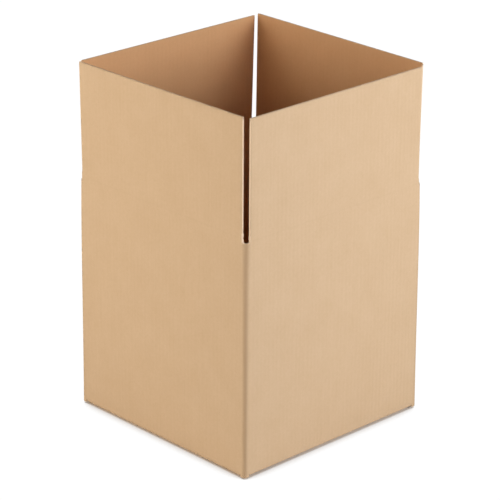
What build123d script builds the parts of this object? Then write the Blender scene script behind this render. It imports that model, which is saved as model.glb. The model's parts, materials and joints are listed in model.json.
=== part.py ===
"""Open regular slotted shipping box of single-wall corrugated board, with four hinged top flaps.

The origin is the middle of the underside, +Z is up, -Y is the front wall and +X is the right wall.
Front and back carry the outer flaps, left and right the inner flaps. All lengths are in millimetres.
"""

import os
from math import radians, sin, tan

from build123d import *

# Inside of the closed box
inside_length = 355.6
inside_width = 355.6
inside_depth = 358.0

# Corrugated board: two liners and the fluted paper between them
board = 4.0
liner = 0.45
medium = 0.45
flute_pitch = 7.8
flute_slope = 50
flute_mouth = 25.0

# Creases, slots and flaps
fold_radius = 4.5
slot_width = 9.5
slot_overcut = 3.0
foot_radius_share = 0.85
crease_gap = 0.4
crease_relief = 48
layer_gap = 0.4
inner_seam_gap = 1.2
outer_seam_gap = 6.0

# Glued side joint
tab_width = 34.0
tab_end_gap = 9.0
tab_taper = 15
raw_edge_setback = 1.0
glue_sink = 0.3

# Overrun of every cut past the board
overrun = 6.0

# Sizes that follow from the above
outer_length = inside_length + 2 * board
outer_width = inside_width + 2 * board
floor_top = 2 * board
slot_inset = slot_width / 2 + board
inner_crease = floor_top + inside_depth + board
outer_crease = inner_crease + board + layer_gap
slot_bottom = inner_crease - slot_overcut
foot_slot_top = board + slot_overcut
foot_radius = slot_overcut * foot_radius_share
flap_reach = min(outer_length, outer_width) / 2
inner_flap_length = flap_reach - inner_seam_gap / 2
outer_flap_length = flap_reach - outer_seam_gap / 2
front_width = outer_length - 2 * slot_inset
side_width = outer_width - 2 * slot_inset
relief_depth = board * tan(radians(crease_relief))

# A flute's hollow in the board's edge, a trapezoid with its wide side on a liner
hollow_height = board - 2 * liner - medium
slope_run = (hollow_height + medium) / tan(radians(flute_slope))
hollow_width = flute_pitch / 2 + slope_run - medium / sin(radians(flute_slope))

# Crease planes: middle of the crease on the wall's outer face, X into the box, Y up, Z along the crease
front_crease = Plane((0, -outer_width / 2, outer_crease), x_dir=(0, 1, 0), z_dir=(1, 0, 0))
back_crease = Plane((0, outer_width / 2, outer_crease), x_dir=(0, -1, 0), z_dir=(-1, 0, 0))
left_crease = Plane((-outer_length / 2, 0, inner_crease), x_dir=(1, 0, 0), z_dir=(0, -1, 0))
right_crease = Plane((outer_length / 2, 0, inner_crease), x_dir=(-1, 0, 0), z_dir=(0, 1, 0))


def make_flap(crease, width, length):
    """A flap standing on its crease, relieved inside so that it folds in, with open flutes in its top edge."""
    top_edge = Plane(
        crease.from_local_coords((board / 2, length, 0)),
        x_dir=crease.z_dir,
        z_dir=crease.y_dir,
    )
    flute_count = int(width // flute_pitch)
    with BuildPart() as flap:
        with BuildSketch(crease):
            with BuildLine():
                Polyline(
                    (0, crease_gap / 2),
                    (board, crease_gap / 2 + relief_depth),
                    (board, length),
                    (0, length),
                    close=True,
                )
            make_face()
        extrude(amount=width / 2, both=True)
        with BuildSketch(top_edge):
            with Locations((0, -medium / 2)):
                with GridLocations(flute_pitch, 0, flute_count, 1):
                    Trapezoid(hollow_width, hollow_height, flute_slope)
            with Locations((0, medium / 2)):
                with GridLocations(flute_pitch, 0, flute_count - 1, 1):
                    Trapezoid(hollow_width, hollow_height, flute_slope, rotation=180)
        extrude(amount=-flute_mouth, mode=Mode.SUBTRACT)
    return flap.part


# Walls, glued side joint and closed bottom, one folded sheet
with BuildPart() as box_body:
    # Four walls, folded round at three corners, the fourth left square for the joint
    with BuildSketch() as wall_plan:
        Rectangle(outer_length, outer_width)
        joint_corner = wall_plan.vertices().group_by(Axis.Y)[-1].sort_by(Axis.X)[0]
        fillet([v for v in wall_plan.vertices() if v != joint_corner], fold_radius)
        Rectangle(inside_length, inside_width, mode=Mode.SUBTRACT)
    extrude(amount=outer_crease)

    # Valley between the back wall's cut edge and the left wall, which folds behind it
    with BuildSketch():
        with Locations((-outer_length / 2, outer_width / 2 - board)):
            Rectangle(fold_radius, fold_radius, align=(Align.MIN, Align.MAX))
            Rectangle(raw_edge_setback, board, align=(Align.MIN, Align.MIN))
        with Locations((-outer_length / 2 + fold_radius, outer_width / 2 - board - fold_radius + glue_sink)):
            Circle(fold_radius, mode=Mode.SUBTRACT)
    extrude(amount=outer_crease, mode=Mode.SUBTRACT)

    # Glue tab on the inside of the back wall
    with BuildSketch(Plane.XZ.offset(-inside_width / 2)):
        with BuildLine():
            tab_low = floor_top + tab_end_gap
            tab_high = slot_bottom - tab_end_gap
            taper_rise = tab_width * tan(radians(tab_taper))
            Polyline(
                (-inside_length / 2, tab_low),
                (-inside_length / 2 + tab_width, tab_low + taper_rise),
                (-inside_length / 2 + tab_width, tab_high - taper_rise),
                (-inside_length / 2, tab_high),
                close=True,
            )
        make_face()
    extrude(amount=board)

    # Side walls are creased lower at the top and one board higher at the foot
    with BuildSketch(Plane.XZ):
        for side in (-1, 1):
            with Locations((side * outer_length / 2, inner_crease - crease_gap / 2)):
                Rectangle(2 * board, 2 * overrun, align=(Align.CENTER, Align.MIN))
            with Locations((side * outer_length / 2, 0)):
                Rectangle(2 * board, board, align=(Align.CENTER, Align.MIN))
    extrude(amount=side_width / 2, both=True, mode=Mode.SUBTRACT)

    # Slots at the four corners, from the top and from the foot
    with BuildSketch(Plane.XY.offset(slot_bottom)):
        with GridLocations(outer_length, outer_width, 2, 2):
            Rectangle(2 * slot_inset, 2 * slot_inset)
    extrude(amount=outer_crease, mode=Mode.SUBTRACT)
    with BuildSketch():
        with GridLocations(outer_length, outer_width, 2, 2):
            Rectangle(2 * slot_inset, 2 * slot_inset)
    extrude(amount=foot_slot_top, mode=Mode.SUBTRACT)

    # Crease relief along the inside of each wall's top
    for crease, width in (
        (front_crease, front_width),
        (back_crease, front_width),
        (left_crease, side_width),
        (right_crease, side_width),
    ):
        with BuildSketch(crease):
            with BuildLine():
                Polyline(
                    (0, -crease_gap / 2),
                    (board, -crease_gap / 2 - relief_depth),
                    (board, overrun),
                    (0, overrun),
                    close=True,
                )
            make_face()
        extrude(amount=width / 2, both=True, mode=Mode.SUBTRACT)

    # Bottom: inner flaps from the side walls lie on outer flaps from the front and back walls
    with BuildSketch():
        for side in (-1, 1):
            with Locations((0, side * (outer_width / 2 - outer_flap_length / 2))):
                Rectangle(front_width, outer_flap_length)
    extrude(amount=board)
    with BuildSketch(Plane.XY.offset(board)):
        for side in (-1, 1):
            with Locations((side * (outer_length / 2 - inner_flap_length / 2), 0)):
                Rectangle(inner_flap_length, side_width)
    extrude(amount=board)

    # Round folds between the walls and the bottom flaps
    foot_edges = box_body.edges().filter_by(Axis.X).group_by(Axis.Z)[0]
    fillet(foot_edges.group_by(Axis.Y)[0] + foot_edges.group_by(Axis.Y)[-1], foot_radius)
    side_edges = box_body.edges().filter_by(Axis.Y).filter_by_position(Axis.Z, board, board)
    fillet(side_edges.group_by(Axis.X)[0] + side_edges.group_by(Axis.X)[-1], foot_radius)

# Flaps
front_flap = make_flap(front_crease, front_width, outer_flap_length)
back_flap = make_flap(back_crease, front_width, outer_flap_length)
left_flap = make_flap(left_crease, side_width, inner_flap_length)
right_flap = make_flap(right_crease, side_width, inner_flap_length)

os.makedirs("parts", exist_ok=True)
pieces = {
    "box_body": box_body.part,
    "front_flap": front_flap,
    "back_flap": back_flap,
    "left_flap": left_flap,
    "right_flap": right_flap,
}
for name, piece in pieces.items():
    piece.label = name
    export_step(piece, f"parts/{name}.step")
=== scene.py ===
"""Open shipping box of corrugated kraft board: one creased and glued sheet with four flaps standing up."""

import json
from math import pi, radians, tan

import bpy
import numpy as np
from mathutils import Matrix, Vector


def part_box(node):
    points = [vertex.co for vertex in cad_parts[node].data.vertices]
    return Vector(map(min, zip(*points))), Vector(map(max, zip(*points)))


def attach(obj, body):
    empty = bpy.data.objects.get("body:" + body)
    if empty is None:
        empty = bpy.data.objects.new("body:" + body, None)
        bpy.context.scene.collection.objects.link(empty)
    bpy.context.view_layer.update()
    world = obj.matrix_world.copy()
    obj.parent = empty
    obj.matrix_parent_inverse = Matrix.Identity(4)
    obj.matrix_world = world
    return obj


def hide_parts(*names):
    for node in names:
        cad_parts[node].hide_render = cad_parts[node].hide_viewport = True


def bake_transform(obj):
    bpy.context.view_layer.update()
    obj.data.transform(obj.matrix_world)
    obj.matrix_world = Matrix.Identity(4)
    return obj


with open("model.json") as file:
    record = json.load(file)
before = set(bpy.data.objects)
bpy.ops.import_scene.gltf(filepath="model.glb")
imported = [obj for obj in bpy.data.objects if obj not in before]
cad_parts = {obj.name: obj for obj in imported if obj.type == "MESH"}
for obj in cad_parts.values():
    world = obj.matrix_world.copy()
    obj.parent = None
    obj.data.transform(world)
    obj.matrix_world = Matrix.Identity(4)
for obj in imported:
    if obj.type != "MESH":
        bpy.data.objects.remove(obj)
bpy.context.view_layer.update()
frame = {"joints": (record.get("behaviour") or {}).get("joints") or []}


# Walls
# One strip of single-wall board runs round the box: two kraft liners glued to a fluted paper.
# It is creased at the corners, and a tab is glued behind the back wall's cut edge.

body_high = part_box("box_body")[1]
front_low, front_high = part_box("front_flap")
crease_height = {joint["child"]: joint["pos_m"][2] for joint in frame["joints"]}
half_x, half_y = body_high.x, body_high.y
board = front_high.y - front_low.y
liner = 0.00045
fluting = 0.0004
flute_pitch = 0.0078
flute_samples = 8
fold_radius = 0.0058
fold_steps = 13
slot_overcut = 0.003
wall_foot = 0.0095
corner_foot = 0.0025
corner_foot_reach = 0.0075
wall_top = crease_height["right_flap"] - slot_overcut
wall_swell = 0.0009
corner_press = 0.0004
corner_press_width = 0.0038
corner_ease = 0.002
corner_ease_width = 0.005
corner_ease_height = 0.06
foot_sharpness = 0.0014
foot_sharpness_height = 0.12
tab_width = 0.034
tab_end_gap = 0.009
tab_taper = 15
glue_line = 0.0001
cut_edge_setback = 0.001
slot_edge_height = 0.002
slot_edge_reach = 0.009
slot_edge_step = 0.0005
wall_columns = 36
wall_rows = 28
wall_flute_rows = 10
foot_step_share = 0.001
tab_step = 0.00001
end_crowding = 0.9
round_digits = 7
sharp_angle = 40
paper_outside, paper_inside, paper_fluting, paper_cut = range(4)
outer_papers = paper_outside, paper_fluting
inner_papers = paper_fluting, paper_inside
flute_papers = paper_fluting, paper_fluting


class Socket:
    """A socket of a node tree. An operator between sockets and numbers adds a Math node."""

    def __init__(self, tree, output=None):
        self.tree = tree
        self.output = output

    def node(self, kind, settings, inputs, output=0):
        """Adds a node: its settings first, then the value or link of each input. Gives the named output."""
        made = self.tree.nodes.new(kind)
        for setting, value in settings.items():
            setattr(made, setting, value)
        for place, value in inputs.items():
            if isinstance(value, Socket):
                value.feed(made.inputs[place])
            else:
                made.inputs[place].default_value = value
        return Socket(self.tree, made.outputs[output])

    def feed(self, target):
        self.tree.links.new(self.output, target)

    def math(self, operation, first, second):
        return self.node("ShaderNodeMath", {"operation": operation}, {0: first, 1: second})

    def mix(self, first, second):
        """The first colour where this socket is 0, the second where it is 1."""
        colours = {0: self, 6: first, 7: second}
        return self.node("ShaderNodeMix", {"data_type": "RGBA"}, colours, output=2)

    def __add__(self, other):
        return self.math("ADD", self, other)

    def __radd__(self, other):
        return self.math("ADD", other, self)

    def __sub__(self, other):
        return self.math("SUBTRACT", self, other)

    def __rsub__(self, other):
        return self.math("SUBTRACT", other, self)

    def __mul__(self, other):
        return self.math("MULTIPLY", self, other)

    def __rmul__(self, other):
        return self.math("MULTIPLY", other, self)


# Patterns in the paper: their scale, or their stretch across and along the sheet, and their octaves
cloud_scale, cloud_octaves = 22, 4
mottle_scale, mottle_octaves = 260, 3
fibre_stretch, fibre_octaves = (180, 1500, 0), 3
streak_stretch, streak_octaves = (420, 9, 0), 2
fleck_stretch, fleck_octaves = (500, 900, 0), 1
fleck_start, fleck_full = 0.70, 0.80
noise_middle = 0.5
# How much each pattern shifts the tone between brown and pale, or darkens the paper
tone_middle = 0.5
# The flutes' tone is painted shade of the washboard ripple that the flutes raise in the liner
cloud_tone, mottle_tone, fibre_tone, streak_tone, flute_painted_shade = 0.5, 0.5, 0.35, 0.3, 0.03
# The creases darken for crushed board, and with painted shade of the rounded corner folds
fleck_dark, crease_crush_and_shade = 0.3, 0.5
paper_roughness, mottle_roughness = 0.84, 0.12
paper_specular = 0.25
fibre_relief, mottle_relief, flute_relief = 0.5, 0.6, 0.25
relief_strength, relief_depth = 0.35, 0.00025


def kraft_paper(name, pale, brown, crushed):
    """Unbleached kraft: clouds, mottle, short fibres and streaks between a pale and a brown tone, dark
    flecks, faint lines of painted shade along the washboard ripple of the flutes, and darker paper
    along the creases: crushed board, with painted shade of the rounded corner folds."""
    material = bpy.data.materials.new(name)
    material.use_nodes = True
    shader = material.node_tree.nodes["Principled BSDF"]
    tree = Socket(material.node_tree)
    space = tree.node("ShaderNodeTexCoord", {}, {}, "Object")
    sheet = tree.node("ShaderNodeUVMap", {"uv_map": "sheet"}, {})
    crease = tree.node("ShaderNodeAttribute", {"attribute_name": "crease"}, {}, "Fac")

    def noise(vector, octaves, scale=1):
        return tree.node("ShaderNodeTexNoise", {}, {"Vector": vector, "Scale": scale, "Detail": octaves})

    def stretched(factors):
        return tree.node("ShaderNodeVectorMath", {"operation": "MULTIPLY"}, {0: sheet, 1: factors})

    clouds = noise(space, cloud_octaves, cloud_scale)
    mottle = noise(space, mottle_octaves, mottle_scale)
    fibres = noise(stretched(fibre_stretch), fibre_octaves)
    streaks = noise(stretched(streak_stretch), streak_octaves)
    specks = noise(stretched(fleck_stretch), fleck_octaves)
    fleck_range = {"Value": specks, "From Min": fleck_start, "From Max": fleck_full}
    flecks = tree.node("ShaderNodeMapRange", {}, fleck_range)
    across = tree.node("ShaderNodeSeparateXYZ", {}, {"Vector": sheet}, "X")
    flutes = tree.node("ShaderNodeMath", {"operation": "COSINE"}, {0: across * (2 * pi / flute_pitch)})

    tone = tone_middle + (clouds - noise_middle) * cloud_tone + (mottle - noise_middle) * mottle_tone
    tone = tone + (fibres - noise_middle) * fibre_tone + (streaks - noise_middle) * streak_tone
    # The flutes add faint lines of painted shade, for the washboard ripple over them
    colour = (tone + flutes * flute_painted_shade).mix(brown, pale)
    colour = (flecks * fleck_dark).mix(colour, crushed)
    # Darker along the creases: crushed board, with painted shade of the rounded corner folds
    colour = (crease * crease_crush_and_shade).mix(colour, crushed)
    colour.feed(shader.inputs["Base Color"])
    roughness = paper_roughness + (mottle - noise_middle) * mottle_roughness
    roughness.feed(shader.inputs["Roughness"])
    relief = fibres * fibre_relief + mottle * mottle_relief + flutes * flute_relief
    surface = {"Height": relief, "Strength": relief_strength, "Distance": relief_depth}
    tree.node("ShaderNodeBump", {}, surface).feed(shader.inputs["Normal"])
    shader.inputs["Specular IOR Level"].default_value = paper_specular
    return material


crushed_kraft = (0.36, 0.22, 0.11, 1)
crushed_fluting = (0.30, 0.18, 0.09, 1)
papers = [
    kraft_paper("kraft_outside", (0.70, 0.50, 0.305, 1), (0.60, 0.405, 0.225, 1), crushed_kraft),
    # The inside liner's warmer, more orange tone is painted light: the warm light that the walls throw on
    # each other inside the box
    kraft_paper("kraft_inside_painted_bounce", (0.77, 0.452, 0.22, 1), (0.68, 0.367, 0.168, 1), crushed_kraft),
    # The fluting and the cut edges are paler than the liners: cut fibres show pale, and the rest of the
    # pallor is painted light that lifts the shade in the open flutes along the cut edges
    kraft_paper("kraft_fluting", (0.80, 0.61, 0.40, 1), (0.72, 0.52, 0.32, 1), crushed_fluting),
    kraft_paper("kraft_cut", (0.84, 0.66, 0.46, 1), (0.76, 0.57, 0.38, 1), crushed_kraft),
]


def ply(place, across, along, near, far, papers_seen, crease):
    """One closed layer of paper. Its outer grid is place(across, along, near), its inner grid
    place(across, along, far), each with its own paper, and a rim of quads joins their borders."""
    rows, columns = across.shape
    count = rows * columns
    index = np.arange(count).reshape(rows, columns)
    quads = np.stack([index[:-1, :-1], index[:-1, 1:], index[1:, 1:], index[1:, :-1]], -1)
    outer = quads.reshape(-1, 4)
    border = np.concatenate([index[0], index[1:, -1], index[-1, -2::-1], index[-2:0:-1, 0]])
    ahead = np.roll(border, -1)
    rim = np.stack([ahead, border, border + count, ahead + count], -1)
    sides = [place(across, along, np.broadcast_to(depth, across.shape)) for depth in (near, far)]
    return {
        "points": np.concatenate(sides).reshape(-1, 3),
        "faces": np.concatenate([outer, outer[:, ::-1] + count, rim]),
        "sheet": np.tile(np.stack([across, along], -1).reshape(-1, 2), (2, 1)),
        "crease": np.tile(np.broadcast_to(crease, across.shape).ravel(), 2),
        "paper": np.repeat([*papers_seen, paper_cut], [len(outer), len(outer), len(rim)]),
    }


def wave_ply(place, across, along):
    """The fluted paper: its middle swings between the liners as a cosine of the way across the flutes,
    and its thickness in depth grows with the slope, so that it is even across the paper."""
    swing = board / 2 - liner - fluting / 2
    phase = 2 * pi * across / flute_pitch
    slope = swing * 2 * pi / flute_pitch * np.sin(phase)
    middle = board / 2 + swing * np.cos(phase)
    half = fluting / 2 * np.sqrt(1 + slope**2)
    return ply(place, across, along, middle - half, middle + half, flute_papers, 0.0)


def make_piece(name, plies):
    """One object at the origin that holds all the layers, with its sheet coordinates and creases."""
    starts = np.cumsum([0] + [len(layer["points"]) for layer in plies])
    faces = np.concatenate([layer["faces"] + start for layer, start in zip(plies, starts)])
    mesh = bpy.data.meshes.new(name)
    mesh.from_pydata(np.concatenate([layer["points"] for layer in plies]), [], faces.tolist())
    sheet = np.concatenate([layer["sheet"] for layer in plies])[faces.ravel()]
    mesh.uv_layers.new(name="sheet").data.foreach_set("uv", sheet.astype(np.float32).ravel())
    crease = np.concatenate([layer["crease"] for layer in plies])
    mesh.attributes.new("crease", "FLOAT", "POINT").data.foreach_set("value", crease.astype(np.float32))
    for paper in papers:
        mesh.materials.append(paper)
    paper_of_face = np.concatenate([layer["paper"] for layer in plies])
    mesh.polygons.foreach_set("material_index", paper_of_face.astype(np.int32))
    mesh.polygons.foreach_set("use_smooth", np.ones(len(faces), bool))
    mesh.set_sharp_from_angle(angle=radians(sharp_angle))
    piece = bpy.data.objects.new(name, mesh)
    bpy.context.scene.collection.objects.link(piece)
    return piece


def folded_line(corners, radius):
    """The outer face of a folded strip, seen along its creases: straight runs from corner to corner, each
    corner a quarter circle. Gives points, outward normals and the way along the line."""
    ahead = np.diff(corners, axis=0)
    ahead = ahead / np.linalg.norm(ahead, axis=1, keepdims=True)
    before, after = ahead[:-1, None], ahead[1:, None]
    turn = np.linspace(0, pi / 2, fold_steps)[:, None]
    normals = before * np.sin(turn) - after * np.cos(turn)
    arcs = corners[1:-1, None] + radius * (after - before + normals)
    points = np.concatenate([corners[:1], arcs.reshape(-1, 2), corners[-1:]])
    normals = np.concatenate([normals[0, :1], normals.reshape(-1, 2), normals[-1, -1:]])
    way = np.append(0, np.cumsum(np.linalg.norm(np.diff(points, axis=0), axis=1)))
    return points, normals, way


def close_to_ends(start, end, count):
    """Steps from start to end that shorten towards both: an even step less a sine of it."""
    step = np.linspace(0, 1, count)
    return start + (end - start) * (step - end_crowding * np.sin(2 * pi * step) / (2 * pi))


def near_folds(across, folds, width):
    """1 on a fold, fading beside it as a square exponential of the way over the width."""
    return np.exp(-(((across[..., None] - folds) / width) ** 2)).sum(-1)


strip_corners = np.array(
    [
        (-half_x + board + tab_width, half_y - board - glue_line),
        (-half_x, half_y - board - glue_line),
        (-half_x, -half_y),
        (half_x, -half_y),
        (half_x, half_y),
        (-half_x + cut_edge_setback, half_y),
    ]
)
strip_points, strip_normals, strip_way = folded_line(strip_corners, fold_radius)
strip_end = strip_way[-1]
run_starts, run_ends = strip_way[::fold_steps], strip_way[1::fold_steps]
tab_fold = run_ends[0]
corner_middles = strip_way[1 + fold_steps // 2 :: fold_steps]
foot_corners = np.append(corner_middles, strip_end)


def strip_grid(columns, rows):
    """Sheet coordinates of the strip: full height on the walls, a little lower at the corners, where it
    reaches down between the bottom flaps, and tapered at both ends on the tab."""
    reach = tab_fold - columns
    taper = tab_end_gap + reach * tan(radians(tab_taper))
    from_corner = abs(columns[:, None] - foot_corners).min(1)
    wall_low = np.where(from_corner < corner_foot_reach, corner_foot, wall_foot)
    low = np.where(reach > 0, 2 * board + taper, wall_low)
    high = np.where(reach > 0, wall_top - taper, wall_top)
    up = low + (high - low) * close_to_ends(0, 1, rows)[:, None]
    return np.broadcast_to(columns, up.shape), up


def strip_place(across, up, depth):
    """The strip in space: along the folded line, up the wall, and in from its outer face. Each wall swells
    as a half wave up the wall times a parabola along it, so corners, foot and top stay true. Towards the
    slots a fold springs rounder, so its corner draws in along the diagonal, and towards the foot it is
    sharper, so its corner stands out: both fade beside the fold and as an exponential along it."""
    x, y, normal_x, normal_y = (
        np.interp(across, strip_way, values) for values in (*strip_points.T, *strip_normals.T)
    )
    x, y = x - depth * normal_x, y - depth * normal_y
    ease = corner_ease * np.exp((up - wall_top) / corner_ease_height)
    ease = ease - foot_sharpness * np.exp((wall_foot - up) / foot_sharpness_height)
    ease = ease * near_folds(across, corner_middles[1:], corner_ease_width) / np.sqrt(2)
    x, y = x - ease * np.sign(x), y - ease * np.sign(y)
    swell = wall_swell * np.sin(pi * (up - wall_foot) / (wall_top - wall_foot))
    swollen_x = x + swell * x / half_x * (1 - (y / half_y) ** 2)
    swollen_y = y + swell * y / half_y * (1 - (x / half_x) ** 2)
    return np.stack([swollen_x, swollen_y, up], -1)


# A column each side of the tab's fold and of every step in the foot keeps these steps upright
foot_reaches = corner_foot_reach * np.outer((-1, 1), (1 + foot_step_share, 1 - foot_step_share)).ravel()
foot_steps = (foot_corners[:, None] + foot_reaches).ravel()
foot_steps = foot_steps[(foot_steps > tab_fold) & (foot_steps < strip_end)]
run_columns = close_to_ends(run_starts[:, None], run_ends[:, None], wall_columns).ravel()
strip_columns = np.concatenate([strip_way, run_columns, foot_steps, [tab_fold - tab_step]])
strip_columns = np.unique(strip_columns.round(round_digits))
strip_across, strip_up = strip_grid(strip_columns, wall_rows)
# The corner creases press the board in, and through the crease attribute darken it: crushed board, with
# painted shade of the rounded fold
corner_crease = near_folds(strip_across, corner_middles, corner_press_width)
pressed = corner_press * corner_crease
wall_flute_columns = np.arange(0, strip_end, flute_pitch / flute_samples)


def slot_edge(start, end):
    """The crushed edge below a slot: a low solid strip between the liners, along a stretch of the line."""
    columns = np.arange(start, end, slot_edge_step)
    across, up = np.meshgrid(columns, [wall_top - slot_edge_height, wall_top])
    near = corner_press * near_folds(across, corner_middles, corner_press_width)
    return ply(strip_place, across, up, near + liner, board - liner, flute_papers, 0.0)


slot_spans = [(tab_fold, run_starts[1] + slot_edge_reach)]
slot_spans += [(middle - slot_edge_reach, middle + slot_edge_reach) for middle in corner_middles[1:]]
slot_spans += [(strip_end - slot_edge_reach, strip_end)]
walls = make_piece(
    "walls",
    [
        ply(strip_place, strip_across, strip_up, pressed, pressed + liner, outer_papers, corner_crease),
        ply(strip_place, strip_across, strip_up, board - liner, board, inner_papers, 0.0),
        wave_ply(strip_place, *strip_grid(wall_flute_columns, wall_flute_rows)),
        *(slot_edge(start, end) for start, end in slot_spans),
    ],
)
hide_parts("box_body")
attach(walls, "box_body")


# Bottom flaps
# Each wall's foot is creased and folded under: the front and back flaps lie outside, and the left and
# right ones lie on them. They are glued together, so the bottom doesn't open.

side_low, side_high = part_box("right_flap")
front_width, side_width = front_high.x - front_low.x, side_high.y - side_low.y
front_seam = half_y - (front_high.z - crease_height["front_flap"])
side_seam = half_x - (side_high.z - crease_height["right_flap"])
outer_foot_radius = 0.009
inner_foot_radius = 0.0025
flap_layer_gap = 0.00005
inner_base = board + flap_layer_gap
bottom_mouth = 0.02
bottom_columns = 30
bottom_rows = 24


def bottom_flap(outward, reach, width, seam, base, foot_radius):
    """One folded-under flap: its section, from the seam out along the underside, round the foot and up to
    the wall, is carried straight along the wall. Its flutes show only near the seam."""
    section = np.array([(seam, base), (reach, base), (reach, wall_foot)])
    points, normals, way = folded_line(section, foot_radius)
    along_wall = np.cross((0, 0, 1), outward)

    def place(across, along, depth):
        out, up, normal_out, normal_up = (
            np.interp(along, way, values) for values in (*points.T, *normals.T)
        )
        out, up = out - depth * normal_out, up - depth * normal_up
        return across[..., None] * along_wall + out[..., None] * outward + up[..., None] * (0, 0, 1)

    columns = close_to_ends(-width / 2, width / 2, bottom_columns)
    rows = np.concatenate([way, close_to_ends(way[0], way[1], bottom_rows)])
    across, along = np.meshgrid(columns, np.unique(rows.round(round_digits)))
    flute_columns = np.arange(-width / 2, width / 2, flute_pitch / flute_samples)
    return [
        ply(place, across, along, 0.0, liner, outer_papers, 0.0),
        ply(place, across, along, board - liner, board, inner_papers, 0.0),
        wave_ply(place, *np.meshgrid(flute_columns, [0, bottom_mouth])),
    ]


bottom_plies = []
for side in (-1, 1):
    outward = np.array((0, side, 0))
    bottom_plies += bottom_flap(outward, half_y, front_width, front_seam, 0.0, outer_foot_radius)
for side in (-1, 1):
    outward = np.array((side, 0, 0))
    bottom_plies += bottom_flap(outward, half_x, side_width, side_seam, inner_base, inner_foot_radius)
bottom = make_piece("bottom_flaps", bottom_plies)
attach(bottom, "box_body")


# Top flaps
# Four flaps of the same sheet stand up on their creases. Their flutes run upwards and are open along the
# cut top edge. Each has the crushed band of its crease, made as it stands at rest between wall and flap.

crease_half = 0.0045
score_press = 0.00003
score_width = 0.0012
score_tone = 0.08
valley_depth = 0.0012
valley_width = 0.0018
slot_fillet = 0.003
slot_squeeze = 0.4
top_squeeze = 0.3
squeeze_width = 0.004
end_strip_width = squeeze_width / 2
crushed_below = 0.002
crushed_height = 0.001
flap_columns = 44
flap_rows = 24
flap_flute_rows = 12
band_rows = 25
# At the glued corner the sheet's ends are trimmed, not slotted: the back flap is longer by its right end,
# and the left flap's left end runs out towards the top
joint_trims = {"back_flap": (0.0, 0.0018)}
joint_splays = {"left_flap": 0.0026}
# Lean into the box at the flap's left and right end, seen from outside, in degrees
flap_leans = {
    "front_flap": (-0.65, 0.0),
    "right_flap": (0.0, 0.0),
    "back_flap": (-1.0, -0.8),
    "left_flap": (0.9, 0.0),
}


def squeezed(share, distance):
    """The share of the board's thickness left near a knife's cut: it falls as a square curve to the cut."""
    return 1 - share * np.clip(1 - distance / squeeze_width, 0, 1) ** 2


for joint in frame["joints"]:
    flap = joint["child"]
    flap_low, flap_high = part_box(flap)
    crease_point = np.array(joint["pos_m"])
    outward = np.sign((crease_point * (1, 1, 0)).round(round_digits))
    right = np.cross((0, 0, 1), outward)
    width = max(flap_high.x - flap_low.x, flap_high.y - flap_low.y)
    length = flap_high.z - crease_point[2]
    ends = np.array([-width / 2, width / 2]) + np.array(joint_trims.get(flap, (0.0, 0.0))) * (-1, 1)
    splay = joint_splays.get(flap, 0.0)
    left_lean, right_lean = np.tan(np.radians(flap_leans[flap]))

    def flap_place(across, up, depth):
        """The flap in space: along the crease, up from it, and in from the outer face. Its layers draw
        together to the middle near the slots and the top edge. Above the crease band it leans in by a
        slope that changes evenly from end to end, and its left end runs out evenly by the splay."""
        lean = left_lean + (right_lean - left_lean) * (across / width + 0.5)
        above = np.clip(up - crease_half, 0, None)
        from_slot = np.maximum(np.minimum(across - ends[0], ends[1] - across), squeeze_width - above)
        left_over = squeezed(slot_squeeze, from_slot) * squeezed(top_squeeze, length - up)
        inward = board / 2 + (depth - board / 2) * left_over + lean * above
        run_out = splay * (across / width - 0.5) * above / length
        flat = (across + run_out)[..., None] * right + up[..., None] * (0, 0, 1)
        return crease_point + flat - inward[..., None] * outward

    columns = close_to_ends(*ends, flap_columns)
    across, up = np.meshgrid(columns, close_to_ends(crease_half, length, flap_rows))
    flute_points = int(width / flute_pitch) * flute_samples
    flute_columns = np.linspace(ends[0] + squeeze_width, ends[1] - squeeze_width, flute_points)
    flute_rows = close_to_ends(crease_half, length, flap_flute_rows)
    layers = [
        ply(flap_place, across, up, 0.0, liner, outer_papers, 0.0),
        ply(flap_place, across, up, board - liner, board, inner_papers, 0.0),
        wave_ply(flap_place, *np.meshgrid(flute_columns, flute_rows)),
    ]
    # The knives crush the fluting: it closes the flutes a little below the top edge, and along both slots
    crushed_rows = length - crushed_below - np.array([crushed_height, 0])
    crushed_stretches = [(columns, crushed_rows)]
    crushed_stretches += [(ends[0] + np.array([0, 1]) * end_strip_width, flute_rows)]
    crushed_stretches += [(ends[1] + np.array([-1, 0]) * end_strip_width, flute_rows)]
    for stretch in crushed_stretches:
        layers.append(ply(flap_place, *np.meshgrid(*stretch), liner, board - liner, flute_papers, 0.0))
    panel = make_piece(flap + "_board", layers)
    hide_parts(flap)
    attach(panel, flap)

    # The band is scored outside, has a valley inside, and flares in a quarter circle into the slots' foot
    band_foot = wall_top - crease_point[2]
    band_across, band_up = np.meshgrid(columns, np.linspace(band_foot, crease_half, band_rows))
    above_slot = np.clip(slot_fillet - (band_up - band_foot), 0, None)
    flare = slot_fillet - np.sqrt(slot_fillet**2 - above_slot**2)
    flared_across = band_across * (1 + 2 * flare / width)
    score = np.exp(-((band_up / score_width) ** 2))
    valley = np.exp(-((band_up / valley_width) ** 2))
    band_near, band_far = score_press * score, board - valley_depth * valley
    band_papers = paper_outside, paper_inside
    band_ply = ply(flap_place, flared_across, band_up, band_near, band_far, band_papers, score_tone * score)
    band = make_piece(flap + "_crease_band", [band_ply])
    turn_start = crease_point + (0, 0, max(band_foot, -crease_half))
    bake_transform(band)


# Floor and light
# The box stands on a white studio sweep, between soft boxes set low round it and a small one above.
# The floor shows plain white, and keeps the shade close under the box.

room_light = 0.03
floor_half = 8.0
floor_below = 0.0004
floor_white = 1.03
bounce_colour = (0.8, 0.8, 0.8, 1)
shade_colour = (0.8, 0.72, 0.62, 1)
plain_white = (1, 1, 1, 1)
contact_reach = 0.05
contact_samples = 16
contact_shaded, contact_open = 0.3, 0.64
lamp_aim_height = 0.3

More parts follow.
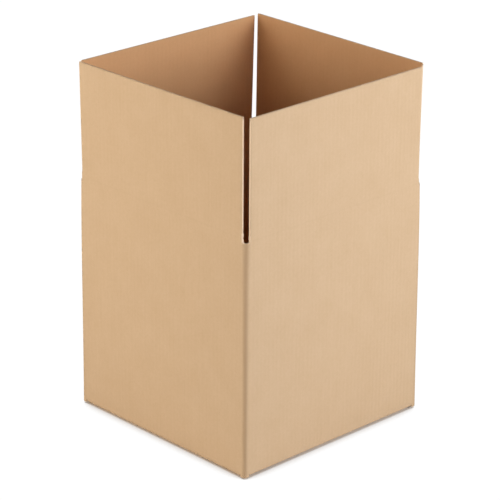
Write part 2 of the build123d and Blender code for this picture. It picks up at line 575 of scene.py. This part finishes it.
scene = bpy.context.scene
scene.view_settings.view_transform = "Standard"

floor_mesh = bpy.data.meshes.new("floor")
floor_corners = floor_half * np.array([(-1, -1, 0), (1, -1, 0), (1, 1, 0), (-1, 1, 0)])
floor_mesh.from_pydata(floor_corners - (0, 0, floor_below), [], [(0, 1, 2, 3)])
floor = bpy.data.objects.new("floor", floor_mesh)
scene.collection.objects.link(floor)


def seen_rays(tree):
    """1 for rays that show the background: straight from the camera, or by way of gloss or glass."""
    straight, gloss, glass = (
        tree.node("ShaderNodeLightPath", {}, {}, ray)
        for ray in ("Is Camera Ray", "Is Glossy Ray", "Is Transmission Ray")
    )
    return tree.math("MAXIMUM", tree.math("MAXIMUM", straight, gloss), glass)


white = bpy.data.materials.new("white_sweep")
white.use_nodes = True
tree = Socket(white.node_tree)
contact = {"Distance": contact_reach}
nearness = tree.node("ShaderNodeAmbientOcclusion", {"samples": contact_samples}, contact, "AO")
contact_range = {"Value": nearness, "From Min": contact_shaded, "From Max": contact_open}
open_floor = tree.node("ShaderNodeMapRange", {}, contact_range)
bounce = tree.node("ShaderNodeBsdfDiffuse", {}, {"Color": bounce_colour})
shaded = tree.node("ShaderNodeBsdfDiffuse", {}, {"Color": shade_colour})
white_floor = tree.node("ShaderNodeEmission", {}, {"Color": plain_white, "Strength": floor_white})
shown = tree.node("ShaderNodeMixShader", {}, {0: open_floor, 1: shaded, 2: white_floor})
surface = tree.node("ShaderNodeMixShader", {}, {0: seen_rays(tree), 1: bounce, 2: shown})
surface.feed(white.node_tree.nodes["Material Output"].inputs["Surface"])
floor_mesh.materials.append(white)

world = bpy.data.worlds.new("room")
scene.world = world
world.use_nodes = True
tree = Socket(world.node_tree)
lit = tree.node("ShaderNodeBackground", {}, {"Color": plain_white, "Strength": room_light})
backdrop = tree.node("ShaderNodeBackground", {}, {"Color": plain_white, "Strength": 1.0})
room = tree.node("ShaderNodeMixShader", {}, {0: seen_rays(tree), 1: lit, 2: backdrop})
room.feed(world.node_tree.nodes["World Output"].inputs["Surface"])

# Azimuth and elevation in degrees, given as the camera's are, distance and size in metres, watts, colour
soft_boxes = {
    "right_box": (90, 12, 2.4, 1.5, 6.8, (0.91, 1.0, 1.28)),
    "high_box": (104, 19, 2.6, 1.0, 31.2, (1.03, 0.98, 1.01)),
    "far_box": (118, 19, 2.6, 1.2, 15.4, (0.9, 1.06, 1.17)),
    "front_box": (-10, 12, 2.4, 1.5, 7.5, (1.06, 0.99, 0.85)),
    "left_box": (-18, 15, 2.6, 1.3, 38.0, (1.03, 0.98, 0.96)),
    "back_box": (222, 15, 2.6, 1.5, 30.0, (1.0, 1.0, 1.0)),
    "top_box": (0, 90, 2.6, 0.6, 1.5, (1.0, 1.0, 1.0)),
}
for name, (azimuth, elevation, distance, size, power, colour) in soft_boxes.items():
    lamp = bpy.data.lights.new(name, "AREA")
    lamp.size, lamp.energy, lamp.color = size, power, colour
    holder = bpy.data.objects.new(name, lamp)
    holder.matrix_world = (
        Matrix.Translation((0, 0, lamp_aim_height))
        @ Matrix.Rotation(radians(azimuth), 4, "Z")
        @ Matrix.Rotation(radians(90 - elevation), 4, "X")
        @ Matrix.Translation((0, 0, distance))
    )
    scene.collection.objects.link(holder)


# Camera
# A long lens looks down on the front corner, a little rolled, as the photograph was taken.
# Its place comes from a fit of the box's edges to those in the photograph.

lens = 178.9
sensor = 36.0
camera_azimuth, camera_elevation, camera_roll = 46.25, 21.865, 0.35
camera_distance = 3.7424
aim_height = 0.275
aim_up = -0.01674

camera = bpy.data.cameras.new("camera")
camera.lens, camera.sensor_width = lens, sensor
viewer = bpy.data.objects.new("camera", camera)
viewer.matrix_world = (
    Matrix.Translation((0, 0, aim_height))
    @ Matrix.Rotation(radians(camera_azimuth), 4, "Z")
    @ Matrix.Rotation(radians(90 - camera_elevation), 4, "X")
    @ Matrix.Rotation(radians(camera_roll), 4, "Z")
    @ Matrix.Translation((0, aim_up, camera_distance))
)
scene.collection.objects.link(viewer)
scene.camera = viewer
